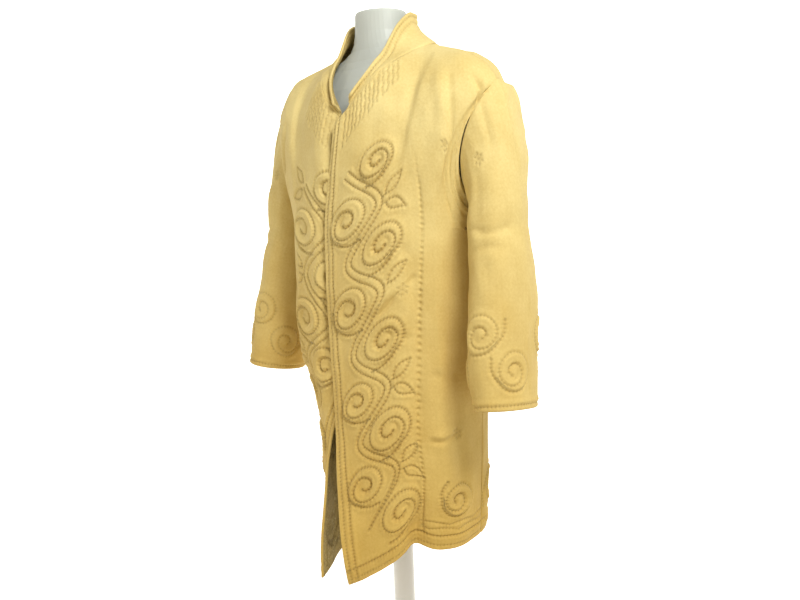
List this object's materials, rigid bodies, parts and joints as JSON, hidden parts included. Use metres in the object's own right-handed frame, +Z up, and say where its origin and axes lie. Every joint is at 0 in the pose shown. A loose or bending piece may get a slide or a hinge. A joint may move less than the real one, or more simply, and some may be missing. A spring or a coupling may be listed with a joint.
{
  "type": "quilted wool coat on a dress form",
  "caption": "Knee-length quilted wool wrap coat with a stand collar, left front lapped over right, worn by a limbless dress form on a pole with a round base.",
  "frame": {"origin": "centre of the round base's underside, on the floor", "axes": "+Z up along the pole, the coat's front faces -Y, the wearer's left arm is on +X"},
  "size_m": [0.668, 0.3672, 1.4612],
  "materials": {
    "wool": "fine plain weave with a soft sheen, quilted",
    "lining": "small olive and gold print, satin",
    "form": "smooth off-white",
    "stand": "off-white paint"
  },
  "bodies": {
    "root": {"front_left": "wool", "front_right": "wool", "back": "wool", "collar": "wool", "sleeve_left": "wool", "sleeve_right": "wool", "collar_lining": "lining", "front_right_lining": "lining", "form_body": "form", "form_pole": "stand", "form_base": "stand"}
  },
  "joints": []
}
